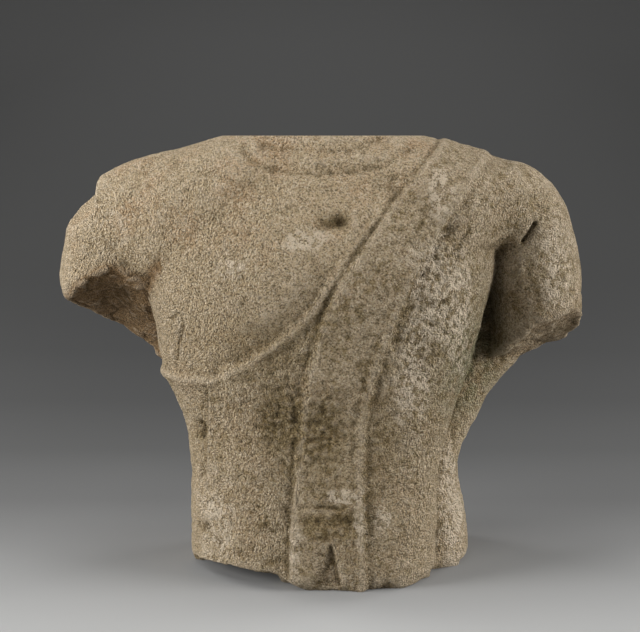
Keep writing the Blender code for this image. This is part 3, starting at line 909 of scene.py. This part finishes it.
class Shader:
    """Adds nodes to one material."""

    def __init__(self, name):
        self.material = bpy.data.materials.new(name)
        self.material.use_nodes = True
        self.tree = self.material.node_tree
        self.surface = self.tree.nodes["Principled BSDF"]

    def node(self, kind, settings=None, values=None, output=0):
        """A node of that type: settings first, then the values or links of its sockets.

        The setting "stops" is a colour ramp's list of (place, colour).
        """
        node = self.tree.nodes.new(kind)
        for setting, value in (settings or {}).items():
            if setting == "stops":
                while len(node.color_ramp.elements) < len(value):
                    node.color_ramp.elements.new(0.5)
                for element, (place, colour) in zip(node.color_ramp.elements, value):
                    element.position = place
                    element.color = (*colour, 1.0)
            else:
                setattr(node, setting, value)
        pairs = values.items() if isinstance(values, dict) else enumerate(values or ())
        for name, value in pairs:
            self.feed(node.inputs[name], value)
        return Socket(self, node.outputs[output])

    def feed(self, socket, value):
        """Links a socket to a shader value, or sets it to a constant."""
        if isinstance(value, Socket):
            self.tree.links.new(value.output, socket)
        elif isinstance(value, tuple) and socket.type == "RGBA":
            socket.default_value = (*value, 1.0)
        else:
            socket.default_value = value

    def attribute(self, name):
        return self.node("ShaderNodeAttribute", {"attribute_name": name}, output="Fac")

    def place(self):
        return self.node("ShaderNodeTexCoord", output="Object")

    def noise(self, scale, detail, rough=0.6):
        """Cloudy noise from 0 to 1, with that many waves in each metre."""
        values = {
            "Vector": self.place(), "Scale": scale, "Detail": detail, "Roughness": rough,
        }
        return self.node("ShaderNodeTexNoise", {"noise_dimensions": "3D"}, values, "Fac")

    def grains(self, scale, output="Distance"):
        """Packed grains, that many in each metre: 0 in the middle of each one."""
        values = {"Vector": self.place(), "Scale": scale}
        return self.node("ShaderNodeTexVoronoi", {"feature": "F1"}, values, output)

    def random_grains(self, scale):
        """A number from 0 to 1 that is the same all over each grain."""
        colour = self.grains(scale, "Color")
        return self.node("ShaderNodeSeparateColor", {}, {"Color": colour}, "Red")

    def mix(self, share, first, second, blend="MIX"):
        """Colours mixed by a share from 0 to 1."""
        factor, first_colour, second_colour, result = 0, 6, 7, 2
        return self.node(
            "ShaderNodeMix",
            {"data_type": "RGBA", "blend_type": blend},
            {factor: share, first_colour: first, second_colour: second},
            result,
        )

    def bump(self, height, distance):
        values = {"Height": height, "Distance": distance, "Strength": 1.0}
        return self.node("ShaderNodeBump", {}, values, "Normal")


# Where the stone is bloomed pale, given painted light on its lower sides, or stained on the
# front: strength, centre, reach, both across and up
PALE_AND_LIT_PATCHES = (
    (0.9, (112, 382), (12, 22)),
    (0.55, (104, 300), (30, 56)),
    (0.6, (86, 200), (22, 60)),
    (0.5, (135, 250), (20, 70)),
    (1.6, (20, 92), (13, 6)),
    (1.8, (60, 70), (6, 9)),
    (1.6, (-14, 336), (12, 5)),
    (0.8, (-80, 308), (16, 12)),
    (0.5, (-10, 330), (26, 16)),
    (0.6, (-24, 40), (7, 44)),
    (0.6, (228, 300), (22, 60)),
    (0.4, (-200, 340), (26, 30)),
    # These two are painted light, where the side lamps fall on the lower sides
    (0.9, (134, 60), (16, 80)),
    (0.6, (-100, 55), (26, 60)),
    (0.5, (38, 60), (9, 50)),
)
# Painted light on the lower sides: the robe's darker stone is taken away there
LOWER_SIDE_LIGHT_PATCHES = (
    (1.0, (142, 60), (30, 90)),
    (1.0, (-108, 60), (40, 90)),
    (0.5, (90, 60), (30, 70)),
)
OLIVE_PATCHES = (
    (1.0, (2, 150), (24, 32)),
    (1.0, (-5, 62), (16, 11)),
    (1.0, (26, 62), (12, 11)),
    (0.6, (14, 80), (24, 28)),
    (0.9, (-38, 165), (22, 42)),
    # Under the breast: olive stain, and painted shade where the chest turns down
    (0.5, (-60, 238), (60, 26)),
    (0.5, (60, 150), (16, 70)),
    (0.8, (14, 350), (14, 9)),
    (0.6, (-116, 140), (9, 26)),
    (0.6, (-110, 44), (14, 12)),
    (0.5, (100, 250), (18, 70)),
    (0.5, (116, 340), (14, 24)),
)
GREEN_PATCH = (1.0, (150, 205), (32, 62))
GREEN_BEHIND, GREEN_OVER = 60, 80

# Hollow or proud stone, measured in millimetres against its surroundings after so many
# passes of smoothing: half way at the first number, grown over the second, up to the third
FINE_PASSES, WIDE_PASSES = 3, 24
# The hollows get painted shade, the proud places pale wear
HOLLOW_SHADE_FINE, HOLLOW_SHADE_WIDE = (0.24, 0.4, 0.5), (1.0, 1.6, 0.4)
WORN_FINE, WORN_WIDE = (0.25, 0.4, 0.6), (1.2, 1.6, 0.3)

# The robe's darker stone, the stain of the breaks and the ochre of the shoulders: how far
# from the hem, the break and the ground each is half way, and over what distance it turns
ROBE_FROM, ROBE_OVER = 2, 8
STAIN_FACE, STAIN_FADE = 7, 8
OCHRE_FROM, OCHRE_OVER = 330, 60

# Bloom and olive stain all over, and what the robe adds to the stain and the roughness
BLOOM_ALL_OVER, OLIVE_ALL_OVER, ROBE_OLIVE, ROBE_ROUGH = 0.12, 0.1, 0.12, 0.15

# Stone colours, as linear red, green and blue, and the washes that darken them
BARE_STONE = (0.62, 0.465, 0.280)
SHADED_STONE = (0.54, 0.410, 0.252)
OCHRE_TINT = (0.60, 0.37, 0.19)
PALE_GRAIN = (0.84, 0.71, 0.52)
DARK_GRAIN = (0.135, 0.098, 0.048)
PALE_BLOOM = (0.84, 0.70, 0.52)
OLIVE_WASH = (0.60, 0.56, 0.42)
GREEN_WASH = (0.52, 0.62, 0.50)
BREAK_WASH = (0.50, 0.385, 0.25)
# Colour of the painted shade in hollows and creases
HOLLOW_SHADE_COLOUR = (0.30, 0.27, 0.18)

# How brown the left arm's break is beside the right arm's
LEFT_BREAK_TONE = 0.35

# Fineness of the grains, of the matrix between them and of the coarse lumps, and of the
# patches, clouds and flecks of colour, all in each metre
GRAIN_SCALE, MATRIX_SCALE, COARSE_SCALE = 760, 580, 220
PATCH_SCALE, CLOUD_SCALE, FLECK_SCALE = 22, 60, 150

# The dark, pale and smooth grains, and the dark and pale matrix: the level at which they
# set in, the share over which they grow, and how strong they get
DARK_GRAINS, PALE_GRAINS, SMOOTH_GRAINS = (0.34, 0.34, 0.70), (0.62, 0.38, 0.65), (0.8, 0.2, 0.3)
DARK_MATRIX, PALE_MATRIX = (0.49, 0.14, 0.70), (0.53, 0.14, 0.55)

# Roughness of the stone, its shine, and the depth of its bump in metres
STONE_ROUGHNESS, STONE_SHINE, BUMP_DISTANCE = 0.95, 0.3, 0.0105


def sandstone():
    """Coarse weathered sandstone with bloom, painted light on its lower sides, painted shade in
    its hollows, and mixed grains.
    """
    shader = Shader("sandstone")
    robe, worn = shader.attribute("robe"), shader.attribute("worn")
    dirt, broken = shader.attribute("dirt"), shader.attribute("broken")
    green, bloom = shader.attribute("green"), shader.attribute("bloom")
    ochre, olive = shader.attribute("ochre"), shader.attribute("olive")
    rough = shader.attribute("rough")

    patches = shader.noise(PATCH_SCALE, detail=4)
    clouds = shader.noise(CLOUD_SCALE, detail=3)
    flecks = shader.noise(FLECK_SCALE, detail=3, rough=0.7)
    shaded = (robe * 0.75 + (patches - 0.5) * 0.9).step(0.1, 0.9)
    colour = shader.mix(shaded, BARE_STONE, SHADED_STONE)
    tinted = patches.step(0.46, 0.66) * (0.18 + 0.40 * ochre)
    colour = shader.mix(tinted, colour, OCHRE_TINT)

    grain = shader.random_grains(GRAIN_SCALE)
    matrix = shader.noise(MATRIX_SCALE, detail=2)
    for speckle, dark, pale in (
        (grain, DARK_GRAINS, PALE_GRAINS),
        (matrix, DARK_MATRIX, PALE_MATRIX),
    ):
        colour = shader.mix(speckle.below(*dark), colour, DARK_GRAIN)
        colour = shader.mix(speckle.above(*pale), colour, PALE_GRAIN)

    # Stains: olive mottling, most of it on the robe, then moss and broken stone, and painted
    # shade in the hollows
    mottled = (0.5 - clouds * 0.4 - flecks * 0.6).step(0.0, 0.08) * (0.25 + 0.65 * robe)
    colour = shader.mix(mottled, colour, OLIVE_WASH, "MULTIPLY")
    stained = (flecks * 0.6 + matrix * 0.4 + olive * 0.25).step(0.52, 0.68)
    colour = shader.mix(olive * stained, colour, OLIVE_WASH, "MULTIPLY")
    colour = shader.mix(green * clouds.step(0.30, 0.55), colour, GREEN_WASH, "MULTIPLY")
    colour = shader.mix(broken * 0.9, colour, BREAK_WASH, "MULTIPLY")
    # Painted shade: darker in the hollows and creases, where shade falls
    colour = shader.mix(dirt * (clouds * 0.6 + 0.5), colour, HOLLOW_SHADE_COLOUR, "MULTIPLY")

    # Pale bloom, in a crust of flecks, with painted light on the lower sides, and pale worn
    # edges
    crust = (flecks * 0.7 + matrix * 0.3).step(0.47, 0.54)
    covered = (clouds * 0.6 + bloom * 0.6).step(0.50, 0.74)
    colour = shader.mix(covered * (crust * 0.85 + 0.05), colour, PALE_BLOOM)
    colour = shader.mix(worn * 0.35, colour, PALE_BLOOM)
    roughness = STONE_ROUGHNESS - grain.above(*SMOOTH_GRAINS)
    shader.feed(shader.surface.inputs["Base Color"], colour)
    shader.feed(shader.surface.inputs["Roughness"], roughness)
    shader.feed(shader.surface.inputs["Specular IOR Level"], STONE_SHINE)

    bulge = 1 - shader.grains(GRAIN_SCALE)
    coarse = shader.noise(COARSE_SCALE, detail=3)
    height = bulge * 0.45 + matrix * 0.9 + coarse * (0.8 + 1.8 * rough)
    shader.feed(shader.surface.inputs["Normal"], shader.bump(height, BUMP_DISTANCE))
    return shader.material


def write_attribute(mesh, name, values):
    layer = mesh.attributes.new(name, "FLOAT", "POINT")
    layer.data.foreach_set("value", np.clip(values, 0, 1).astype(np.float32))


def hollowness(mesh, passes):
    """How far each point lies below the average of its surroundings, in metres."""
    ends = np.empty(2 * len(mesh.edges), np.int32)
    mesh.edges.foreach_get("vertices", ends)
    ends = ends.reshape(-1, 2)
    points = places(mesh)
    count = len(points)
    degree = np.bincount(ends.ravel(), minlength=count)[:, None]
    soft = points.copy()
    for _ in range(passes):
        total = np.zeros_like(soft)
        for axis in range(3):
            total[:, axis] = np.bincount(
                ends[:, 0], soft[ends[:, 1], axis], count
            ) + np.bincount(ends[:, 1], soft[ends[:, 0], axis], count)
        soft = total / np.maximum(degree, 1)
    return ((soft - points) * outward(mesh)).sum(axis=1)


def gathered(amount, growth):
    """What a hollow or proud place adds: where it starts, over what, and its share."""
    start, over, share = growth
    return rise(amount - start, over) * share


def mark_surface(stone):
    """Attributes for the stone: where it is robed, broken, bloomed or stained, and where painted
    shade darkens its hollows and painted light brightens its lower sides.
    """
    mesh = stone.data
    points = coordinates(mesh) - np.array(standing_place()) / np.array(SCALE)
    x, y, z = points.T
    front = 1 - rise(y - TURN, TURN_DEPTH)
    edge = front * beside(HEM_LINE, x, z) + (1 - front) * beside(HEM_BACK_LINE, x, z)
    # Painted light: the lower sides take the paler bare stone
    side_light = sum(swell(shape, x, z) for shape in LOWER_SIDE_LIGHT_PATCHES)
    robe = np.clip(rise(edge - ROBE_FROM, ROBE_OVER) - side_light, 0, 1)
    write_attribute(mesh, "robe", robe)
    # Painted shade gathers in the hollows; proud places are paler with wear
    fine = hollowness(mesh, FINE_PASSES) * 1000
    wide = hollowness(mesh, WIDE_PASSES) * 1000
    write_attribute(mesh, "dirt", gathered(fine, HOLLOW_SHADE_FINE) + gathered(wide, HOLLOW_SHADE_WIDE))
    write_attribute(mesh, "worn", gathered(-fine, WORN_FINE) + gathered(-wide, WORN_WIDE))
    broken = 1 - rise(np.abs(above_break(x, y, z)) - STAIN_FACE, STAIN_FADE)
    write_attribute(mesh, "broken", broken * np.where(x < 0, 1.0, LEFT_BREAK_TONE))
    green = swell(GREEN_PATCH, x, z) * rise(GREEN_BEHIND - y, GREEN_OVER)
    write_attribute(mesh, "green", green)
    # Pale patches: bloom, and painted light on the lower sides
    pale = sum(swell(shape, x, z) for shape in PALE_AND_LIT_PATCHES)
    stained = sum(swell(shape, x, z) for shape in OLIVE_PATCHES)
    write_attribute(mesh, "bloom", BLOOM_ALL_OVER + front * pale)
    write_attribute(mesh, "olive", OLIVE_ALL_OVER + ROBE_OLIVE * robe + front * stained)
    write_attribute(mesh, "ochre", front * (1 - robe) * rise(z - OCHRE_FROM, OCHRE_OVER))
    eroded = sum(swell(shape, x, z) for shape in ERODED)
    write_attribute(mesh, "rough", ROBE_ROUGH * robe + front * eroded)


# Floor, light and camera

# The paper's grey from front to back, painted light that falls off behind the block: (metres
# behind the middle of the block, grey)
PAPER_FRONT, PAPER_BACK = -0.6, 3.6
PAPER_PAINTED_FALLOFF = (
    (-0.6, 0.40), (-0.19, 0.31), (-0.10, 0.25), (0.016, 0.19), (0.2, 0.100),
    (0.44, 0.055), (0.77, 0.038), (1.25, 0.038), (2.04, 0.060), (2.57, 0.085), (3.3, 0.120),
)
PAPER_BLUE, PAPER_ROUGHNESS = 0.985, 0.95

# The sheet of paper, in metres: its side, the height of its back, and the sweep between
PAPER_SIDE, PAPER_HEIGHT = 8, 4
SWEEP_RADIUS, SWEEP_STEPS = 2.5, 24

# Round soft lights, all aimed at one place: place, width in metres and power in watts
LIGHTS_AIM = (0, 0, 0.22)
LIGHTS = (
    ("left_window", (-2.4, -0.75, 0.9), 1.3, 92),
    ("right_window", (2.4, -0.55, 0.85), 1.3, 74),
    ("ceiling", (-0.2, 0.0, 1.8), 0.7, 7),
    ("ceiling_front", (-0.4, -0.9, 1.6), 0.5, 5),
    ("left_edge", (-1.9, 1.1, 1.2), 1.0, 26),
    ("right_edge", (1.9, 1.1, 1.2), 1.0, 24),
)
ROOM_GREY = 0.05


def paper_painted_falloff():
    """Floor paper with painted light: pale in front and grey where it sweeps up behind the
    block.
    """
    shader = Shader("paper_painted_falloff")
    depth = shader.node("ShaderNodeSeparateXYZ", {}, {"Vector": shader.place()}, "Y")
    share = (depth - PAPER_FRONT) / (PAPER_BACK - PAPER_FRONT)
    stops = [
        ((place - PAPER_FRONT) / (PAPER_BACK - PAPER_FRONT), (grey, grey, PAPER_BLUE * grey))
        for place, grey in PAPER_PAINTED_FALLOFF
    ]
    colour = shader.node("ShaderNodeValToRGB", {"stops": stops}, {"Fac": share}, "Color")
    shader.feed(shader.surface.inputs["Base Color"], colour)
    shader.feed(shader.surface.inputs["Roughness"], PAPER_ROUGHNESS)
    return shader.material


def floor():
    """A sheet of paper on the floor, swept up behind the block."""
    deselect_all()
    bpy.ops.mesh.primitive_plane_add(size=PAPER_SIDE, location=(0, 0, LOW.z))
    sheet = bpy.context.object
    sheet.name = "studio_floor"
    make_active(sheet)
    bpy.ops.object.mode_set(mode="EDIT")
    bpy.ops.mesh.select_all(action="DESELECT")
    bm = bmesh.from_edit_mesh(sheet.data)
    for edge in bm.edges:
        edge.select_set(all(vert.co.y > 0 for vert in edge.verts))
    bmesh.update_edit_mesh(sheet.data)
    bpy.ops.mesh.extrude_region_move(
        TRANSFORM_OT_translate={"value": (0, 0, PAPER_HEIGHT)}
    )
    bpy.ops.object.mode_set(mode="OBJECT")
    add_modifier(sheet, "BEVEL", width=SWEEP_RADIUS, segments=SWEEP_STEPS)
    bpy.ops.object.transform_apply()
    bpy.ops.object.shade_smooth()
    sheet.data.materials.append(paper_painted_falloff())


def soft_light(name, place, size, power):
    """A round soft light that faces the block."""
    lamp = bpy.data.lights.new(name, "AREA")
    lamp.shape = "DISK"
    lamp.size = size
    lamp.energy = power
    obj = bpy.data.objects.new(name, lamp)
    bpy.context.scene.collection.objects.link(obj)
    obj.location = place
    direction = Vector(LIGHTS_AIM) - Vector(place)
    obj.rotation_euler = direction.to_track_quat("-Z", "Y").to_euler()


def lights():
    """Broad soft lights to both sides and above, and a little light from all round."""
    for name, place, size, power in LIGHTS:
        soft_light(name, place, size, power)
    world = bpy.data.worlds.new("room")
    world.use_nodes = True
    background = world.node_tree.nodes["Background"]
    background.inputs["Color"].default_value = (ROOM_GREY, ROOM_GREY, ROOM_GREY, 1)
    bpy.context.scene.world = world
    bpy.context.scene.view_settings.view_transform = "Standard"


def camera():
    """The photo's viewpoint: level with the neck, looking a little down."""
    pitch = atan((IMAGE_HEIGHT / 2 - NECK_PIXEL) / FOCAL_PIXELS)
    bpy.ops.object.camera_add(
        location=(AXIS.x * ACROSS, AXIS.y * DEEP - VIEW_DISTANCE, LOW.z + VIEW_HEIGHT),
        rotation=(radians(90) - pitch, 0, 0),
    )
    view = bpy.context.object
    view.data.sensor_width = SENSOR_WIDTH
    view.data.lens = SENSOR_WIDTH * FOCAL_PIXELS / IMAGE_WIDTH
    bpy.context.scene.camera = view


camera()
lights()
floor()
stone = torso()
mark_surface(stone)
stone.data.materials.clear()
stone.data.materials.append(sandstone())
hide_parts("torso")
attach(stone, "root")
